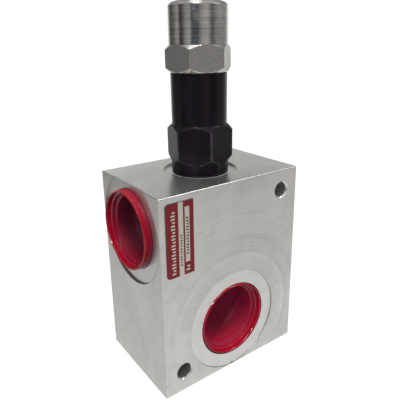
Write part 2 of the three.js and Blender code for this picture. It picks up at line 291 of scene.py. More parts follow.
class Tree(Nodes):
    """A material's node tree, with its shader, the object's coordinates and the face's direction."""

    def __init__(self, name, base, roughness, metallic=0.0, **sockets):
        self.material = bpy.data.materials.new(name)
        self.material.use_nodes = True
        super().__init__(self.material.node_tree)
        self.shader = self.nodes["Principled BSDF"]
        sockets.update(Base_Color=(*base, 1), Roughness=roughness, Metallic=metallic)
        for socket, value in sockets.items():
            self.shader.inputs[socket.replace("_", " ")].default_value = value
        self.place = self.nodes.new("ShaderNodeTexCoord").outputs["Object"]
        self.x, self.y, self.z = self.split(self.place)
        self.facing = self.split(self.nodes.new("ShaderNodeNewGeometry").outputs["Normal"])

    def vector(self, x, y, z):
        node = self.nodes.new("ShaderNodeCombineXYZ")
        for source, socket in zip((x, y, z), node.inputs):
            self.plug(source, socket)
        return node.outputs[0]

    def stretched(self, sx, sy, sz):
        """The object's coordinates scaled by a different amount along each axis."""
        return self.vector(self.times(self.x, sx), self.times(self.y, sy), self.times(self.z, sz))

    def noise(self, scale, detail=3.0, rough=0.5, where=None):
        node = self.nodes.new("ShaderNodeTexNoise")
        node.inputs["Scale"].default_value = scale
        node.inputs["Detail"].default_value = detail
        node.inputs["Roughness"].default_value = rough
        self.links.new(where or self.place, node.inputs["Vector"])
        return node.outputs["Fac"]

    def spots(self, scale, where=None):
        node = self.nodes.new("ShaderNodeTexVoronoi")
        node.inputs["Scale"].default_value = scale
        self.links.new(where or self.place, node.inputs["Vector"])
        return node.outputs["Distance"]

    def span(self, value, low, high, to_low=0.0, to_high=1.0):
        """Maps a value from one range on to another, kept within it."""
        node = self.nodes.new("ShaderNodeMapRange")
        ends = {"From Min": low, "From Max": high, "To Min": to_low, "To Max": to_high}
        for socket, number in ends.items():
            node.inputs[socket].default_value = number
        self.links.new(value, node.inputs["Value"])
        return node.outputs["Result"]

    def mix(self, factor, a, b):
        """Mixes two values."""
        node = self.nodes.new("ShaderNodeMix")
        for source, socket in zip((factor, a, b), (node.inputs[0], node.inputs[2], node.inputs[3])):
            self.plug(source, socket)
        return node.outputs[0]

    def ring(self, reach, radius, half_width):
        """1 on a circle, falling to 0 on both sides of it."""
        off = self.math("ABSOLUTE", self.minus(reach, radius))
        return self.span(off, half_width * 1.4, half_width * 0.6)

    def wave(self, along, pitch):
        """A sine wave along a distance."""
        return self.math("SINE", self.times(along, 2 * math.pi / pitch))

    def colour(self, source):
        self.links.new(source, self.shader.inputs["Base Color"])

    def roughness(self, source):
        self.links.new(source, self.shader.inputs["Roughness"])

    def bump(self, height, depth, strength=1.0):
        """Bump from a height between 0 and 1, its full depth in metres."""
        node = self.nodes.new("ShaderNodeBump")
        node.inputs["Strength"].default_value = strength
        node.inputs["Distance"].default_value = depth
        self.links.new(height, node.inputs["Height"])
        self.links.new(node.outputs["Normal"], self.shader.inputs["Normal"])


def block_aluminium():
    """Milled aluminium: brushed faces, arcs left by the cutter and a bright front spotface, with painted
    shade in the bores and on the side faces, painted light from emission in the bolt holes and a painted
    highlight round the collar's foot.
    """
    tree = Tree("milled_aluminium", (0.68, 0.675, 0.64), 0.36, metallic=0.92)
    on_side = tree.span(tree.math("ABSOLUTE", tree.facing[0]), 0.6, 0.8)
    on_top = tree.span(tree.facing[2], 0.6, 0.8)
    along_x = tree.noise(1.0, 3, where=tree.stretched(60, 2400, 2400))
    along_z = tree.noise(1.0, 3, where=tree.stretched(2400, 2400, 45))
    grain = tree.mix(on_side, along_x, along_z)
    cloud = tree.noise(26, 3, 0.6)
    mottle = tree.noise(190, 4, 0.65)
    handled = tree.span(tree.noise(34, 2, 0.5, where=tree.stretched(1.0, 1.0, 1.6)), 0.46, 0.62)
    upright = tree.noise(1.0, 2, where=tree.stretched(1500, 1500, 90))
    level = tree.noise(1.0, 2, where=tree.stretched(90, 1500, 1500))
    scuffs = tree.times(tree.span(tree.math("MAXIMUM", upright, level), 0.56, 0.68), handled)

    # round the front port: its bright spotface with fine rings, and the cutter's arcs outside it
    dx = tree.minus(tree.x, PRESSURE_AXIS.x * MM)
    dz = tree.minus(tree.z, PRESSURE_AXIS.z * MM)
    reach = tree.distance(dx, dz)
    on_front = tree.span(tree.y, (FRONT + 0.9) * MM, (FRONT + 0.7) * MM)
    past_spot = tree.span(reach, (PORT_SPOT - 0.1) * MM, (PORT_SPOT + 0.1) * MM)
    spot = tree.times(on_front, tree.minus(1.0, past_spot))
    fine_rings = tree.times(tree.span(tree.wave(reach, 0.7 * MM), -1, 1), spot)
    arcs = tree.noise(1.0, 2, 0.7, where=tree.vector(tree.times(reach, 330), 0.0, 0.0))
    fading = tree.span(reach, 62 * MM, 40 * MM)
    upper = tree.span(tree.plus(dz, tree.times(dx, 0.6)), -20 * MM, 45 * MM, 0.35, 1.0)
    patchy = tree.span(cloud, 0.3, 0.6, 0.4, 1.0)
    arcs = tree.times(tree.span(arcs, 0.38, 0.62), fading, past_spot, upper, on_front, patchy)

    # the thin shadow at the step of each port's spotface
    tank_y = tree.minus(tree.y, TANK_AXIS.y * MM)
    tank_z = tree.minus(tree.z, TANK_AXIS.z * MM)
    front_line = tree.times(tree.ring(reach, PORT_SPOT * MM, 0.12 * MM), on_front, 0.4)
    left_line = tree.ring(tree.distance(tank_y, tank_z), PORT_SPOT * MM, 0.16 * MM)
    on_left = tree.span(tree.x, (LEFT + 1.4) * MM, (LEFT + 1.2) * MM)
    left_line = tree.times(left_line, on_left, tree.span(tank_z, 0.0, 9 * MM, 1.0, 0.2))
    step_line = tree.plus(front_line, left_line, clamp=True)

    # painted shade: dark inside the bores, but not in the bolt holes, which get faint painted light from
    # emission instead
    nearest = 1.0
    for along, low, high in zip((tree.x, tree.y, tree.z), BLOCK_LOW, BLOCK_HIGH):
        nearest = tree.math("MINIMUM", nearest, tree.minus(along, low * MM))
        nearest = tree.math("MINIMUM", nearest, tree.minus(high * MM, along))
    inside = tree.span(nearest, 1.0 * MM, 2.2 * MM)
    from_hole = tree.math("MINIMUM", *(
        tree.distance(tree.minus(tree.x, x * MM), tree.minus(tree.z, z * MM)) for x, z in BOLT_HOLES
    ))
    hole_edge = (4.4 * MM, 4.6 * MM)
    painted_hole_glow = tree.times(inside, tree.span(from_hole, *hole_edge, 0.010, 0.0))
    tree.plug(painted_hole_glow, tree.shader.inputs["Emission Strength"])

    # a painted highlight: a light line round the foot of the cartridge's collar, on the top face
    painted_collar_highlight = tree.times(tree.ring(tree.distance(tree.x, tree.y), 13.4 * MM, 0.3 * MM), on_top)

    base = tree.ramp(cloud, [
        (0.25, (0.57, 0.568, 0.535)), (0.5, (0.65, 0.643, 0.61)), (0.75, (0.74, 0.73, 0.70)),
    ])
    for share, colour in (
        (tree.span(grain, 0.3, 0.72, 0, 0.3), (0.80, 0.79, 0.76)),
        (tree.span(mottle, 0.5, 0.72, 0, 0.22), (0.46, 0.455, 0.43)),
        (tree.times(arcs, 0.55), (0.40, 0.40, 0.385)),
        # painted shade: the side faces darker than the front and top
        (tree.times(on_side, 0.45), (0.36, 0.352, 0.335)),
        (tree.times(handled, 0.12), (0.42, 0.41, 0.38)),
        (tree.times(scuffs, 0.2), (0.36, 0.355, 0.335)),
        (tree.times(spot, 0.55), (0.78, 0.77, 0.735)),
        # painted shade inside the bores
        (tree.times(inside, tree.span(from_hole, *hole_edge, 0.0, 0.85)), (0.10, 0.095, 0.09)),
        (tree.times(step_line, 0.8), (0.12, 0.115, 0.10)),
        # painted highlight round the collar's foot
        (painted_collar_highlight, (0.96, 0.96, 0.98)),
    ):
        base = tree.blend(share, base, colour)
    tree.colour(base)

    matt, polished = tree.span(mottle, 0.3, 0.7, 0.31, 0.42), tree.span(cloud, 0.3, 0.7, 0.22, 0.28)
    rough = tree.plus(tree.mix(on_top, matt, polished), tree.times(spot, 0.06))
    tree.roughness(tree.plus(rough, tree.times(tree.plus(step_line, painted_collar_highlight), 0.3)))

    # the brushing lies on the flat faces only, not on the broken edges
    flatness = 0.0
    for part in tree.facing:
        flatness = tree.plus(flatness, tree.square(tree.square(part)))
    height = tree.times(grain, tree.minus(0.3, tree.times(on_top, 0.24)))
    height = tree.plus(tree.plus(height, tree.times(fine_rings, 0.15)), tree.times(arcs, 0.4))
    tree.bump(tree.times(height, tree.span(flatness, 0.9, 0.99)), 0.02 * MM)
    return tree.material


def turned_steel(name, base, shine, line_pitch, flats=None):
    """Steel turned on a lathe, with fine lines round it.

    flats gives the heights between which it has drawn flats.
    """
    tree = Tree(name, base, shine, metallic=1.0)
    lines = tree.noise(1.0, 2, 0.7, where=tree.stretched(25, 25, 1 / (line_pitch * MM)))
    smudge = tree.noise(220, 3, 0.6)
    light = tuple(min(1.0, c * 1.35) for c in base)
    dark = tuple(c * 0.66 for c in base)
    mixed = tree.plus(tree.times(lines, 0.65), tree.times(smudge, 0.35))
    colour = tree.ramp(mixed, [(0.34, dark), (0.5, base), (0.66, light)])
    rough = tree.span(smudge, 0.3, 0.7, shine - 0.04, shine + 0.08)
    if flats:
        low, high = flats
        upright = tree.span(tree.math("ABSOLUTE", tree.facing[2]), 0.15, 0.05)
        edge = 0.1 * MM
        flat = tree.times(upright, tree.span(tree.z, low, low + edge), tree.span(tree.z, high, high - edge))
        grit = tree.noise(1400, 3, 0.7)
        ends = [(place, tuple(c * share for c in base)) for place, share in ((0.3, 0.58), (0.7, 0.86))]
        matt = tree.ramp(grit, ends)
        colour = tree.blend(flat, colour, matt)
        rough = tree.plus(rough, tree.times(flat, 0.2))
    tree.colour(colour)
    tree.roughness(rough)
    tree.bump(lines, 0.15 * line_pitch * MM)
    return tree.material


def black_oxide():
    """Black-oxide steel, oiled: near black, with faint turning lines, a tone that differs in patches, and a
    painted highlight in a lighter colour along the hexagon's edges.
    """
    tree = Tree("black_oxide", (0.006, 0.0045, 0.0065), 0.26, Specular_IOR_Level=0.17,
                Specular_Tint=(0.98, 0.88, 1.0, 1.0))
    lines = tree.noise(1.0, 2, where=tree.stretched(30, 30, 5200))
    patches = tree.noise(60, 4, 0.6)
    stops = [(0.3, (0.005, 0.0035, 0.0055)), (0.6, (0.007, 0.005, 0.008)), (0.8, (0.013, 0.010, 0.013))]
    colour = tree.ramp(patches, stops)

    slope = tree.math("ABSOLUTE", tree.facing[2])
    on_cone = tree.times(tree.span(slope, 0.5, 0.62), tree.span(slope, 0.9, 0.8))
    # painted highlight: a lighter colour, in patches, along the hexagon's rims and corners
    reach = tree.distance(tree.x, tree.y)
    past_barrel = tree.span(reach, 13.0 * MM, 13.1 * MM)
    at_rim = tree.times(tree.span(slope, 0.12, 0.25), tree.span(slope, 0.6, 0.5), past_barrel)
    at_corner = tree.span(reach, 14.75 * MM, 14.95 * MM)
    painted_edge_highlight = tree.times(tree.math("MAXIMUM", at_rim, at_corner), tree.span(patches, 0.4, 0.55, 0.3, 1.0), 0.5)
    tree.colour(tree.blend(painted_edge_highlight, colour, (0.12, 0.11, 0.12)))
    polish = tree.span(patches, 0.3, 0.75, 0.22, 0.34)
    tree.roughness(tree.plus(polish, tree.times(on_cone, 0.3)))
    tree.bump(tree.times(lines, tree.span(slope, 0.3, 0.1)), 0.012 * MM)
    return tree.material


def red_polythene(name, along, mouth, painted_deep_shade, painted_glow, painted_lower_light):
    """Glossy red moulded polythene, a little uneven. Its colour holds painted shade that darkens far into
    the bore and painted light on the lower wall, and emission gives it painted light from just inside the
    lip inwards.

    along picks the axis that the plug lies on and mouth is the place of its lip on that axis. The three
    after them are the colour of the painted shade at the bottom of the bore, the strength of the emission,
    which stands in for light through the wall, and how much painted light the lower wall gets.
    """
    tree = Tree(name, (0.42, 0.004, 0.018), 0.12, Specular_IOR_Level=0.3,
                Emission_Color=(1.0, 0.03, 0.14, 1))
    ripple = tree.noise(90, 3, 0.5)
    depth = tree.minus((tree.x, tree.y)[along], mouth * MM)
    lit = tree.ramp(ripple, [(0.3, (0.40, 0.004, 0.021)), (0.7, (0.50, 0.006, 0.028))])
    # painted shade: the colour darkens with depth into the bore
    fading = tree.span(depth, 3.5 * MM, 14 * MM)
    shaded = tree.ramp(fading, [(0.0, (0.28, 0.006, 0.028)), (0.5, painted_deep_shade)])
    # painted light: the lower wall, which faces up, is lighter, as if lit from above
    painted_lower_wall_light = tree.span(tree.facing[2], 0.1, 0.9, 0.0, painted_lower_light)
    shaded = tree.blend(tree.times(painted_lower_wall_light, tree.span(depth, 15 * MM, 8 * MM)), shaded, (0.40, 0.008, 0.035))
    tree.colour(tree.blend(tree.span(depth, 1.0 * MM, 3.5 * MM), lit, shaded))
    # painted light: emission from just inside the lip inwards, standing in for light coming through the
    # wall
    tree.plug(tree.span(depth, 0.5 * MM, 4.0 * MM, 0.0, painted_glow), tree.shader.inputs["Emission Strength"])
    polish = tree.span(tree.noise(350, 2), 0.3, 0.7, 0.08, 0.17)
    tree.roughness(tree.plus(polish, tree.span(depth, 2.5 * MM, 6 * MM, 0.0, 0.5)))
    tree.bump(ripple, 0.2 * MM, 0.5)
    return tree.material


def printed_foil(name, low, high, roughness, metallic):
    """Thin printed foil, brushed along its length."""
    tree = Tree(name, high, roughness, metallic=metallic)
    brushed = tree.noise(1.0, 2, where=tree.stretched(6000, 6000, 150))
    speck = tree.noise(1500, 2)
    tree.colour(tree.ramp(brushed, [(0.3, low), (0.7, high)]))
    tree.roughness(tree.span(speck, 0.3, 0.7, roughness - 0.06, roughness + 0.08))
    tree.bump(brushed, 0.008 * MM)
    return tree.material


def spring_wire():
    """Shot-peened spring wire: dark grey with fine dimples."""
    tree = Tree("spring_wire", (0.16, 0.155, 0.15), 0.4, metallic=1.0)
    dimples = tree.spots(2600)
    tree.colour(tree.ramp(tree.noise(400, 3), [(0.3, (0.11, 0.105, 0.10)), (0.7, (0.22, 0.21, 0.20))]))
    tree.roughness(tree.span(dimples, 0.0, 0.6, 0.34, 0.5))
    tree.bump(dimples, 0.02 * MM)
    return tree.material


def nitrile_rubber():
    """Black seal rubber with a dusty bloom."""
    tree = Tree("nitrile_rubber", (0.018, 0.018, 0.019), 0.55, Specular_IOR_Level=0.4)
    bloom = tree.noise(700, 4, 0.6)
    tree.colour(tree.ramp(bloom, [(0.35, (0.014, 0.014, 0.015)), (0.75, (0.035, 0.035, 0.036))]))
    tree.roughness(tree.span(bloom, 0.3, 0.7, 0.45, 0.65))
    tree.bump(bloom, 0.01 * MM)
    return tree.material


def white_ptfe():
    """White PTFE: waxy, with faint machining lines."""
    tree = Tree("white_ptfe", (0.84, 0.82, 0.76), 0.42, Subsurface_Weight=0.1, Subsurface_Scale=0.001)
    lines = tree.noise(1.0, 2, where=tree.stretched(60, 60, 9000))
    tree.colour(tree.ramp(lines, [(0.3, (0.78, 0.76, 0.70)), (0.7, (0.88, 0.86, 0.81))]))
    tree.roughness(tree.span(tree.noise(500, 2), 0.3, 0.7, 0.36, 0.5))
    tree.bump(lines, 0.01 * MM)
    return tree.material


# ---------------------------------------------------------------- shape tools


def soften(outline, radius, steps=3):
    """Rounds the plain corners of an outline. Tagged corners and their neighbours stay sharp."""
    closed = outline[0][0] != 0
    rounded = []
    count = len(outline)
    for i, corner in enumerate(outline):
        before, after = outline[i - 1], outline[(i + 1) % count]
        at_end = not closed and i in (0, count - 1)
        tagged = any(isinstance(c[0], str) for c in (before, corner, after))
        if at_end or tagged or corner[0] == 0:
            rounded.append(corner)
            continue
        p, a, b = (np.array(c, float) for c in (corner, before, after))
        u, v = a - p, b - p
        reach_u, reach_v = np.linalg.norm(u), np.linalg.norm(v)
        u, v = u / reach_u, v / reach_v
        half = math.acos(max(-1.0, min(1.0, float(u @ v)))) / 2
        if half > math.radians(84):
            rounded.append(corner)
            continue
        tangent = min(radius / math.tan(half), 0.42 * reach_u, 0.42 * reach_v)
        middle = (u + v) / np.linalg.norm(u + v)
        centre = p + middle * (tangent / math.cos(half))
        start, end = p + u * tangent - centre, p + v * tangent - centre
        turn = math.pi - 2 * half
        for k in range(steps + 1):
            share = k / steps
            mix = (math.sin((1 - share) * turn) * start + math.sin(share * turn) * end) / math.sin(turn)
            rounded.append(tuple(centre + mix))
    return rounded


def hex_radius(flats, turn, angle):
    """How far a hexagon reaches at an angle, its corners just rounded off."""
    sharpness = 170  # the higher, the less its corners are rounded
    total = 0.0
    for k in range(6):
        facing = math.cos(angle - turn - math.pi / 6 - k * math.pi / 3)
        if facing > 0:
            total += facing**sharpness
    return flats / 2 / total ** (1 / sharpness)


def hex_angles(turn, per_side=9):
    """Angles round a hexagon, closer together at its corners."""
    near = [0.0, 0.4, 0.9, 1.6]
    inner = [2.5 + 55 * k / (per_side - 1) for k in range(per_side)]
    sector = near + inner + [60 - a for a in reversed(near[1:])]
    return [turn + math.radians(60 * side + a) for side in range(6) for a in sector]


def thread_wave(share):
    """The depth of a thread's groove, from 0 on its crest to 1 at its root, over one pitch."""
    crest, flank = 0.12, 0.76
    rise = 1 - abs(2 * (share % 1.0) - 1)
    return min(1.0, max(0.0, (rise - crest) / flank))


def spin(outline, segments=72, hexagon=None):
    """Vertices and faces of a body turned about Z.

    A corner is (radius, height). ("hex", reach, height) is a corner of a turned envelope that the hexagon
    cuts back, ("prism", height) lies on the hexagon itself, and ("thread", radius, height, pitch, cut)
    starts a threaded stretch that runs to the next corner: cut is the groove's depth, negative in a hole.
    """
    rows = []
    for i, corner in enumerate(outline):
        if corner[0] == "hex":
            below = outline[i - 1][0] != "hex"
            near = outline[i - 1] if below else outline[i + 1]
            strip = [("hex", corner[1:], near, offset) for offset in (-EDGE_STRIP, 0, EDGE_STRIP)]
            rows.extend(strip if below else reversed(strip))
        elif corner[0] == "thread":
            _, radius, height, pitch, cut = corner
            end = outline[i + 1]
            steps = max(2, int(abs(end[1] - height) / pitch * THREAD_ROWS))
            for k in range(steps):
                level = height + (end[1] - height) * k / steps
                fade = min(1.0, k / THREAD_ROWS, (steps - k) / THREAD_ROWS)
                rows.append(("thread", radius, level, pitch, cut * fade))
        elif corner[0] == "prism":
            rows.append(("prism", corner[1]))
        else:
            rows.append(("plain", corner[0], corner[1]))
    angles = [2 * math.pi * k / segments for k in range(segments)]
    if hexagon:
        angles = hex_angles(hexagon[1])

    def spot(row, angle):
        if row[0] == "plain":
            return row[1], row[2]
        if row[0] == "thread":
            _, radius, level, pitch, cut = row
            return radius - cut * thread_wave(level / pitch - angle / (2 * math.pi)), level
        reach = hex_radius(*hexagon, angle)
        if row[0] == "prism":
            return reach, row[1]
        _, (envelope, height), (near_radius, near_height), offset = row
        share = min(1.0, max(0.02, (reach - near_radius) / (envelope - near_radius)))
        level = near_height + (height - near_height) * share
        rising = 1 if height > near_height else -1
        if offset > 0:
            return reach, level + rising * offset
        slope = (height - near_height) / (envelope - near_radius)
        if offset == 0:
            return reach - 0.12 * EDGE_STRIP, level
        step = min(EDGE_STRIP, 0.8 * (reach - near_radius)) / math.hypot(1, slope)
        return reach - step, level - slope * step

    points, faces, index = [], [], []
    for row in rows:
        if row[0] == "plain" and row[1] == 0:
            index.append([len(points)] * len(angles))
            points.append((0.0, 0.0, row[2]))
            continue
        index.append([len(points) + k for k in range(len(angles))])
        for angle in angles:
            r, z = spot(row, angle)
            points.append((r * math.cos(angle), r * math.sin(angle), z))
    closed = not (rows[0][0] == "plain" and rows[0][1] == 0)
    pairs = list(zip(index, index[1:])) + ([(index[-1], index[0])] if closed else [])
    for lower, upper in pairs:
        for k in range(len(angles)):
            m = (k + 1) % len(angles)
            loop = list(dict.fromkeys((lower[k], lower[m], upper[m], upper[k])))
            if len(loop) > 2:
                faces.append(loop)
    return points, faces


UPRIGHT = Matrix.Identity(4)
INTO_FRONT = Matrix.Rotation(-math.pi / 2, 4, "X")
INTO_LEFT = Matrix.Rotation(math.pi / 2, 4, "Y")


def build(name, points, faces, place=(0, 0, 0), turn=UPRIGHT, smooth_below=32):
    """A mesh object from points in millimetres, turned and then moved to its place."""
    matrix = Matrix.Translation(Vector(place) * MM) @ turn @ Matrix.Scale(MM, 4)
    mesh = bpy.data.meshes.new(name)
    mesh.from_pydata([matrix @ Vector(p) for p in points], [], faces)
    shell = bmesh.new()
    shell.from_mesh(mesh)
    bmesh.ops.recalc_face_normals(shell, faces=shell.faces)
    shell.to_mesh(mesh)
    shell.free()
    piece = bpy.data.objects.new(name, mesh)
    bpy.context.scene.collection.objects.link(piece)
    shade(piece, smooth_below)
    return piece


def shade(piece, smooth_below):
    """Smooth shading, with edges sharper than the angle kept crisp."""
    piece.data.polygons.foreach_set("use_smooth", [True] * len(piece.data.polygons))
    piece.data.set_sharp_from_angle(angle=math.radians(smooth_below))


def apply_modifiers(piece):
    """Puts the result of a piece's modifiers into its mesh."""
    depsgraph = bpy.context.evaluated_depsgraph_get()
    finished = bpy.data.meshes.new_from_object(piece.evaluated_get(depsgraph))
    piece.modifiers.clear()
    piece.data = finished


def weigh_normals(piece):
    """Lets the large faces keep their flat shading beside narrow rounded edges."""
    modifier = piece.modifiers.new("weighted", "WEIGHTED_NORMAL")
    modifier.keep_sharp = True
    apply_modifiers(piece)


def carve(piece, cutters):
    """Cuts each cutter out of a piece, and removes the cutters."""
    for cutter in cutters:
        modifier = piece.modifiers.new("cut", "BOOLEAN")
        modifier.operation = "DIFFERENCE"
        modifier.solver = "EXACT"
        modifier.object = cutter
        bpy.context.view_layer.update()
        apply_modifiers(piece)
        bpy.data.objects.remove(cutter)


def finish_piece(piece, body, slot, material, *nodes):
    """Gives a piece its material and its body, and hides the CAD nodes that it stands for. The slot is not
    used.
    """
    piece.data.materials.clear()
    piece.data.materials.append(material)
    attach(piece, body)
    if nodes:
        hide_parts(*nodes)
    return piece


BODY_OF = {n: body for body, nodes in frame["record"]["behaviour"]["bodies"].items() for n in nodes}
SLOT_OF = {row["node"]: row["material_slot"] for row in frame["record"]["subparts"]}


def turned_piece(node, name, outline, material, segments=72, hexagon=None, radius=0.15):
    """A turned piece that stands for a CAD node on the valve's axis."""
    low, high = box_mm(node)
    place = ((low.x + high.x) / 2, (low.y + high.y) / 2, low.z)
    points, faces = spin(soften(outline, radius), segments, hexagon)
    piece = build(name, points, faces, place)
    weigh_normals(piece)
    return finish_piece(piece, BODY_OF[node], SLOT_OF[node], material, node)


# ---------------------------------------------------------------- the block


def port_cutter(name, spot_depth, drill, drill_end, place, turn):
    """The room of a port: spotface, seal chamfer, thread, tap drill and connecting drill.

    Heights run inwards from the block's face.
    """
    outline = [
        (0, -2), (PORT_SPOT, -2), (PORT_SPOT, spot_depth), (PORT_MOUTH, spot_depth),
        (PORT_MOUTH - 0.2, 4.4), (16.7, 5.2), ("thread", 16.6, 5.3, PORT_PITCH, 0.7), (15.9, 18.6),
        (15.9, 20), (drill, 22.2), (drill, drill_end), (0, drill_end),
    ]
    points, faces = spin(outline, 128)
    return build(name, points, faces, place, turn)


def cavity_cutter():
    """The cartridge's stepped cavity, down to the pressure port. Heights are the frame's own."""
    top = BLOCK_TOP
    spot = top - TOP_SPOT_DEPTH
    outline = [
        (0, top + 2), (TOP_SPOT, top + 2), (TOP_SPOT, spot), (12.3, spot), (11.6, spot - 2.4),
        (11, spot - 3), (11, 80), (10, 79), (10, 64.6), (7.95, 63.8), (7.95, 55), (6.35, 54),
        (6.35, PRESSURE_AXIS.z), (0, PRESSURE_AXIS.z - 3),
    ]
    points, faces = spin(outline, 120)
    return build("cavity_cutter", points, faces)


def bolt_hole_cutter(x, z):
    depth = BLOCK_HIGH.y - BLOCK_LOW.y
    r = BOLT_HOLE_RADIUS
    outline = [(0, -1), (r + 1.6, -1), (r, 0.6), (r, depth - 0.6), (r + 1.6, depth + 1), (0, depth + 1)]
    points, faces = spin(outline, 48)
    return build("bolt_hole_cutter", points, faces, (x, FRONT, z), INTO_FRONT)


def make_block(material):
    mesh = bpy.data.meshes.new("machined_block")
    billet = bmesh.new()
    bmesh.ops.create_cube(billet, size=1.0)
    size, centre = BLOCK_HIGH - BLOCK_LOW, (BLOCK_HIGH + BLOCK_LOW) / 2
    for vertex in billet.verts:
        vertex.co = Vector(c + v * s for c, v, s in zip(centre, vertex.co, size)) * MM
    bmesh.ops.bevel(billet, geom=billet.edges[:], offset=EDGE_BREAK * MM, offset_type="OFFSET", segments=3,
                    profile=0.5, affect="EDGES")
    billet.to_mesh(mesh)
    billet.free()
    block = bpy.data.objects.new("machined_block", mesh)
    bpy.context.scene.collection.objects.link(block)
    front_port, left_port = (PRESSURE_AXIS.x, FRONT, PRESSURE_AXIS.z), (LEFT, TANK_AXIS.y, TANK_AXIS.z)
    pressure = port_cutter("pressure_cutter", 0.4, 10, 33.4, front_port, INTO_FRONT)
    tank = port_cutter("tank_cutter", 0.9, 7, -LEFT, left_port, INTO_LEFT)
    carve(block, [pressure, tank, cavity_cutter(), *(bolt_hole_cutter(x, z) for x, z in BOLT_HOLES)])
    shade(block, 28)
    weigh_normals(block)
    finish_piece(block, "body", "block", material, "valve_block")


# ---------------------------------------------------------------- the label


def patch(name, left, right, low, high, lift, thickness, corners, material):
    """A thin sheet on the front face.

    corners gives the radius at bottom left, bottom right, top right and top left.
    """
    rim = []
    places = [(left, low), (right, low), (right, high), (left, high)]
    inward = [(1, 1), (-1, 1), (-1, -1), (1, -1)]
    for k, ((x, z), (ix, iz), r) in enumerate(zip(places, inward, corners)):
        if r == 0:
            rim.append((x, z))
            continue
        first = math.pi + k * math.pi / 2
        for step in range(7):
            angle = first + step * math.pi / 12
            rim.append((x + ix * r + r * math.cos(angle), z + iz * r + r * math.sin(angle)))
    count = len(rim)
    near, far = FRONT - lift - thickness, FRONT - lift
    points = [(x, near, z) for x, z in rim] + [(x, far, z) for x, z in rim]
    faces = [tuple(range(count)), tuple(range(2 * count - 1, count - 1, -1))]
    faces += [(k, (k + 1) % count, count + (k + 1) % count, count + k) for k in range(count)]
    piece = build(name, points, faces)
    return finish_piece(piece, "body", "foil", material)


def make_label(red, silver, ink_and_edge_shade):
    """The plate: two red panels either side of a silver stripe, with plain rules in place of wording."""
    left, right, low, high = PLATE_LOW.x, PLATE_HIGH.x, PLATE_LOW.z, PLATE_HIGH.z
    lift = FRONT - PLATE_HIGH.y
    first, second, third = lift + 0.2, lift + 0.23, lift + 0.25
    # the dark sheet under the panels shows as a thin border at the left and top only: painted shade of the
    # plate's edge
    edge_shade_sheet = patch("label_edge_shade_sheet", left, right, low, high, lift, 0.2, (1.6, 0, 0, 1.6), ink_and_edge_shade)
    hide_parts("nameplate")
    film = 0.03
    for name, x0, x1, z0, z1, corners, material in (
        ("label_panel_left", left + 0.25, left + 5.9, low + 0.05, high - 0.3, (1.4, 1.0, 0, 1.4), red),
        ("label_panel_right", left + 8.2, right - 0.05, low + 0.05, high - 0.3, (0, 0, 1.0, 0.6), red),
        ("label_stripe", left + 5.9, left + 8.2, low, high - 0.2, (0, 0, 0, 0), silver),
    ):
        patch(name, x0, x1, z0, z1, first, film, corners, material)
    pane_left, pane_right = left + 9.0, left + 11.2
    window = (pane_left, pane_right, low + 5.6, high - 2.6)
    patch("label_window", *window, second, 0.02, (0.2,) * 4, silver)
    rules = [
        ("label_rule_title", left + 2.4, left + 4.3, low + 1.5, high - 1.9, second, silver, 1.4),
        ("label_rule_stripe", left + 6.5, left + 7.6, low + 4.5, low + 19, first + 0.03, ink_and_edge_shade, 1.2),
        ("label_rule_window", pane_left + 0.45, pane_right - 0.45, low + 9, high - 6, third, ink_and_edge_shade, 1.3),
        ("label_rule_foot", pane_left + 0.2, pane_right - 0.2, low + 1.6, low + 4.6, second, silver, 1.5),
    ]
    for rule in rules:
        dashes(*rule)


def dashes(name, left, right, low, high, lift, material, pitch):
    """A row of short plain bars, one after another along Z, standing in for a line of print."""
    share = 0.5
    count = max(1, int((high - low) / pitch))
    pieces = []
    for k in range(count):
        foot = low + k * pitch
        short = 0.3 * (right - left) if k % 3 == 1 else 0
        ends = (left + short, right, foot, foot + pitch * share)
        pieces.append(patch(f"{name}_{k}", *ends, lift, 0.02, (0.1,) * 4, material))
    joined = pieces[0]
    shell = bmesh.new()
    for piece in pieces:
        shell.from_mesh(piece.data)
    shell.to_mesh(joined.data)
    shell.free()
    for piece in pieces[1:]:
        bpy.data.objects.remove(piece)
    joined.name = name


# ---------------------------------------------------------------- the shipping plugs


def warp_lip(point, tilt, low_side):
    """Moulded plugs are never quite round: the lip wanders in and out, and dips by tilt on its low side."""
    x, y, depth = point
    angle = math.atan2(y, x)
    share = max(0.0, 1 - depth / 3)
    wander = 0.10 * math.cos(3 * angle + 0.7) + 0.06 * math.cos(7 * angle + 2.1) - 0.08
    scale = 1 + share * wander / PORT_MOUTH
    return x * scale, y * scale, depth + share * tilt * (1 + math.cos(angle - low_side)) / 2


def make_plug(node, name, place, turn, tilt, low_side, material):
    """A moulded cup with a thin lip, open outwards. Heights run inwards from the lip's outer edge."""
    outline = soften([
        (0, 18), (14.4, 18), (15, 17.4), (15.4, 5.2), (16.6, 4.5), (17.7, 4.28), (17.9, 4.27),
        (17.9, 4.1), (17.9, 3.3), (17.75, 0.5), (17.4, 0), (17.1, 0), (16.8, 0.5), (16.5, 2.4),
        (15.8, 2.7), (15.6, 4.0), (14.5, 4.7), (14.2, 9.5), (13.5, 12.6), (12.2, 14.9), (10.0, 16.2),
        (7.0, 16.6), (0, 16.6),
    ], 0.45, 4)
    points, faces = spin(outline, 144)
    points = [warp_lip(p, tilt, low_side) for p in points]
    piece = build(name, points, faces, place, turn)
    weigh_normals(piece)
    finish_piece(piece, BODY_OF[node], SLOT_OF[node], material, node)


# ---------------------------------------------------------------- the cartridge's outside


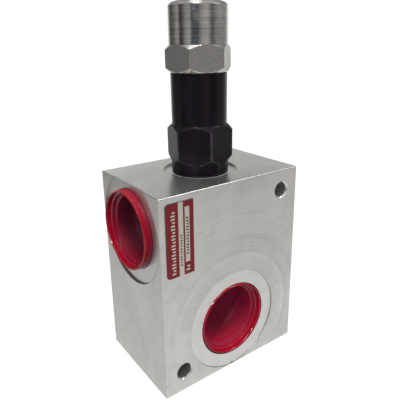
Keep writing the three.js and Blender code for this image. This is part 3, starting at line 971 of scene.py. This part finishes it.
def make_cartridge_body(material):
    outline = [
        (8.75, 0), (9.4, 0), (9.6, 0.3), (9.6, 1.4), (10.6, 2.2),
        ("thread", 10.7, 2.4, CARTRIDGE_PITCH, 0.8), (10.6, 9.4), (9.5, 10.4), (9.5, 13.2),
        (12.9, 13.2), (13.1, 13.4), (13.1, 18.3), ("hex", 15.1, 20.9), ("hex", 15.1, 32.7),
        (12.7, 35.0), (12.45, 35.6), (12.55, 57.3), (12.3, 57.7), (9.1, 57.7), (9.1, 59.3), (9.7, 60.0),
        ("thread", 9.9, 60.2, FINE_PITCH, 0.75), (9.8, 69.6), (9.1, 70.3), (5.8, 70.3), (5.2, 69.7),
        ("thread", 5.05, 69.5, FINE_PITCH, -0.5), (5.05, 52.6), (5.3, 51.8), (7.0, 51.8), (7.6, 51.2),
        (7.6, 8.4), (8.75, 7.8), (8.75, 4.95), (9.2, 4.95), (9.2, 3.65), (8.75, 3.65),
    ]
    turned_piece("cartridge_body", "black_cartridge_body", outline, material, hexagon=BODY_HEX, radius=0.2)


def make_seal_cap(material):
    outline = [
        (0, 25.4), (9.6, 25.4), (10.2, 24.8), (10.2, 13), ("thread", 10.2, 12.9, FINE_PITCH, -0.6),
        (10.2, 3.2), (10.2, 2.6), (11.4, 2.0), (11.4, 0.6), (10.2, 0.6), (10.2, 0.4), (10.6, 0),
        (12.9, 0), ("hex", 14.9, 2.0), ("hex", 14.9, 9.3), (12.9, 11.2), (12.9, 26.9), (12.45, 27.5),
        (11.75, 28.1), (10.9, 28.5), (9.9, 28.8), (0, 28.8),
    ]
    turned_piece("seal_cap", "steel_seal_cap", outline, material, hexagon=CAP_HEX, radius=0.12)


# ---------------------------------------------------------------- the pieces inside


def make_round_ring(node, name, middle, section, material):
    outline = [
        (middle + section * math.cos(a), section + section * math.sin(a))
        for a in np.linspace(0, 2 * math.pi, 20, endpoint=False)
    ]
    turned_piece(node, name, outline, material, segments=96, radius=0)


def make_flat_ring(node, name, inner, outer, height, material):
    outline = [(inner, 0), (outer, 0), (outer, height), (inner, height)]
    turned_piece(node, name, outline, material, segments=96, radius=0.12)


def make_cage(material):
    outline = [
        (4, 0), (6.85, 0), (7.65, 0.8), (7.65, 1.4), (5.9, 1.4), (5.9, 6.2), (7.65, 6.2), (7.65, 9.2),
        (8.45, 10), (8.45, 26.85), (7.8, 26.85), (7.8, 28.15), (8.45, 28.15), (8.45, 30.4),
        (8.1, 30.75), (6.5, 30.75), (6.5, 14.5), (5.9, 14.5), (5.9, 8.2), (4, 8.2),
    ]
    foot = box_mm("cage")[0].z
    points, faces = spin(soften(outline, 0.12, 2), 96)
    piece = build("steel_cage", points, faces, (0, 0, foot))
    drills = []
    for k in range(3):
        rod, sides = spin([(0, -12), (2.1, -12), (2.1, 12), (0, 12)], 32)
        across = Matrix.Rotation(k * math.pi / 3, 4, "Z") @ INTO_FRONT
        drills.append(build("drill", rod, sides, (0, 0, foot + 17), across))
    carve(piece, drills)
    shade(piece, 30)
    weigh_normals(piece)
    finish_piece(piece, BODY_OF["cage"], SLOT_OF["cage"], material, "cage")


def make_inner_turnings(ground):
    """The seat, the poppet, the two spring seats and the ball."""
    turned_piece("valve_seat", "hard_seat_ring", [
        (3.4, 0), (5.6, 0), (5.6, 5.7), (4.6, 5.7), (3.4, 4.5),
    ], ground)
    turned_piece("poppet", "ground_poppet", [
        (0, 0), (1.6, 0), (6.2, 4.6), (6.2, 8.5), (5.7, 8.7), (5.7, 9.5), (6.2, 9.7), (6.2, 11.7),
        (5.7, 11.9), (5.7, 12.7), (6.2, 12.9), (6.2, 16.1), (5.8, 16.5), (2, 16.5), (0, 15.1),
    ], ground)
    turned_piece("lower_spring_seat", "lower_spring_seat_turned", [
        (0, 0), (1.6, 1.2), (5.8, 1.2), (6, 1.4), (6, 3), (5.8, 3.2), (3.2, 3.2), (3.2, 7.3),
        (2.6, 7.9), (0, 7.9),
    ], ground)
    turned_piece("adjuster_piston", "adjuster_piston_turned", [
        (0, 0), (2.6, 0), (3.2, 0.6), (3.2, 4.7), (7, 4.7), (7.25, 5), (7.25, 6.6), (5.4, 6.6),
        (5.4, 10.5), (7.25, 10.5), (7.25, 11.7), (7, 12), (2.4, 12), (2.4, 10.9), (0, 10.2),
    ], ground)
    ball = [(2 * math.sin(a), 2 - 2 * math.cos(a)) for a in np.linspace(0, math.pi, 25)]
    ball[0], ball[-1] = (0, 0), (0, 4)  # both ends exactly on the axis
    turned_piece("thrust_ball", "thrust_ball_ground", ball, ground, radius=0)


def make_screw_and_nut(steel):
    low, high = box_mm("adjusting_screw")
    length = high.z - low.z
    turned_piece("adjusting_screw", "adjusting_screw_threaded", [
        (0, 2.9), (2.3, 2.4), (2.4, 2.2), (2.4, 0), (3.95, 0), (4.5, 0.7),
        ("thread", 4.75, 1.0, FINE_PITCH, 0.7), (4.6, length - 0.9), (4.0, length), (3.05, length),
        ("prism", length - 0.3), ("prism", length - 5.2), (0, length - 5.5),
    ], steel, hexagon=SOCKET_HEX, radius=0.12)
    turned_piece("lock_nut", "lock_nut_hexagon", [
        (7, 0), (8.1, 0), ("hex", 9.4, 0.75), ("hex", 9.4, 4.75), (8.1, 5.5), (5.7, 5.5),
        ("thread", 5.05, 5.0, FINE_PITCH, -0.5), (5.05, 1.4), (7, 1.4),
    ], steel, hexagon=NUT_HEX, radius=0.1)


def spring_half(name, share_from, share_to, material):
    """Half of the main spring, as a swept wire. Both ends of the whole spring are ground flat."""
    low, high = box_mm("main_spring")
    wire, radius, turns, end_turns = 1.1, 4.7, 8.5, 1.0
    end_pitch = 2 * wire + 0.12
    foot, head = low.z + wire * 0.45, high.z - wire * 0.45
    open_turns = turns - 2 * end_turns
    open_pitch = (head - foot - 2 * end_turns * end_pitch) / open_turns

    def level(turn):
        first = min(turn, end_turns)
        middle = min(max(turn - end_turns, 0), open_turns)
        last = max(turn - end_turns - open_turns, 0)
        return foot + (first + last) * end_pitch + middle * open_pitch

    steps, sides = 200, 14
    points, faces = [], []
    for k in range(steps + 1):
        turn = turns * (share_from + (share_to - share_from) * k / steps)
        angle = 2 * math.pi * turn
        climb = level(min(turn + 0.01, turns)) - level(max(turn - 0.01, 0))
        slope = math.atan2(climb, 0.02 * 2 * math.pi * radius)
        outward = Vector((math.cos(angle), math.sin(angle), 0))
        around = Vector((-math.sin(angle), math.cos(angle), 0))
        up = Vector((0, 0, math.cos(slope))) - around * math.sin(slope)
        centre = outward * radius + Vector((0, 0, level(turn)))
        for s in range(sides):
            a = 2 * math.pi * s / sides
            p = centre + outward * (wire * math.cos(a)) + up * (wire * math.sin(a))
            p.z = min(max(p.z, low.z), high.z)
            points.append(tuple(p))
    for k in range(steps):
        for s in range(sides):
            m = (s + 1) % sides
            faces.append((k * sides + s, k * sides + m, (k + 1) * sides + m, (k + 1) * sides + s))
    faces.append(tuple(range(sides)))
    faces.append(tuple(steps * sides + s for s in reversed(range(sides))))
    piece = build(name, points, faces)
    piece.data.materials.append(material)
    return piece


def make_spring(material):
    """The spring in two halves that meet at its middle."""
    lower = spring_half("main_spring_lower_half", 0.0, 0.5, material)
    upper = spring_half("main_spring_upper_half", 0.5, 1.0, material)
    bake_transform(lower)
    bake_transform(upper)
    for half in (lower, upper):
        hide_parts("main_spring")


# ---------------------------------------------------------------- everything together


def make_object():
    aluminium = block_aluminium()
    cap_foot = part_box("seal_cap")[0].z
    cap_flats = (cap_foot, cap_foot + 11.3 * MM)
    cap_steel = turned_steel("turned_cap_steel", (0.43, 0.42, 0.395), 0.13, 0.45, cap_flats)
    ground = turned_steel("ground_steel", (0.55, 0.54, 0.52), 0.2, 0.12)
    zinc = turned_steel("zinc_steel", (0.5, 0.5, 0.48), 0.28, 0.2)
    rubber = nitrile_rubber()
    ptfe = white_ptfe()

    make_block(aluminium)
    make_label(
        printed_foil("red_foil", (0.20, 0.006, 0.014), (0.27, 0.010, 0.020), 0.4, 0.3),
        printed_foil("silver_foil", (0.55, 0.55, 0.48), (0.70, 0.70, 0.62), 0.38, 0.6),
        printed_foil("ink_and_edge_shade", (0.05, 0.045, 0.04), (0.09, 0.085, 0.08), 0.5, 0.0),
    )
    front_red = red_polythene("red_polythene_front", 1, PRESSURE_LOW.y, (0.15, 0.006, 0.027), 0.04, 0.75)
    left_red = red_polythene("red_polythene_left", 0, TANK_LOW.x, (0.08, 0.005, 0.018), 0.005, 0.2)
    make_plug("pressure_port_plug", "pressure_plug_cup", (PRESSURE_AXIS.x, PRESSURE_LOW.y, PRESSURE_AXIS.z),
              INTO_FRONT, 0.2, 0.0, front_red)
    make_plug("tank_port_plug", "tank_plug_cup", (TANK_LOW.x, TANK_AXIS.y, TANK_AXIS.z),
              INTO_LEFT, 1.0, -math.pi / 2, left_red)
    make_cartridge_body(black_oxide())
    make_seal_cap(cap_steel)
    make_cage(ground)
    make_inner_turnings(ground)
    make_screw_and_nut(zinc)
    make_spring(spring_wire())
    make_flat_ring("cage_snap_ring", "cage_snap_ring_flat", 8.05, 8.95, 0.7, spring_wire())
    for node, middle, section in (
        ("collar_o_ring", 10.65, 0.85),
        ("nose_o_ring", 6.95, 0.75),
        ("piston_o_ring", 6.5, 0.8),
        ("cap_o_ring", 10.75, 0.5),
    ):
        make_round_ring(node, f"{node}_rubber", middle, section, rubber)
    for node, inner, outer, height in (
        ("nose_backup_ring_lower", 6.2, 7.7, 1.0),
        ("nose_backup_ring_upper", 6.2, 7.7, 1.0),
        ("piston_backup_ring", 5.7, 7.3, 1.2),
        ("lock_nut_seal", 5.3, 6.7, 1.15),
    ):
        make_flat_ring(node, f"{node}_ptfe", inner, outer, height, ptfe)


make_camera()
make_floor()
make_world()
make_lights()
make_object()
bpy.context.scene.view_settings.view_transform = "Standard"
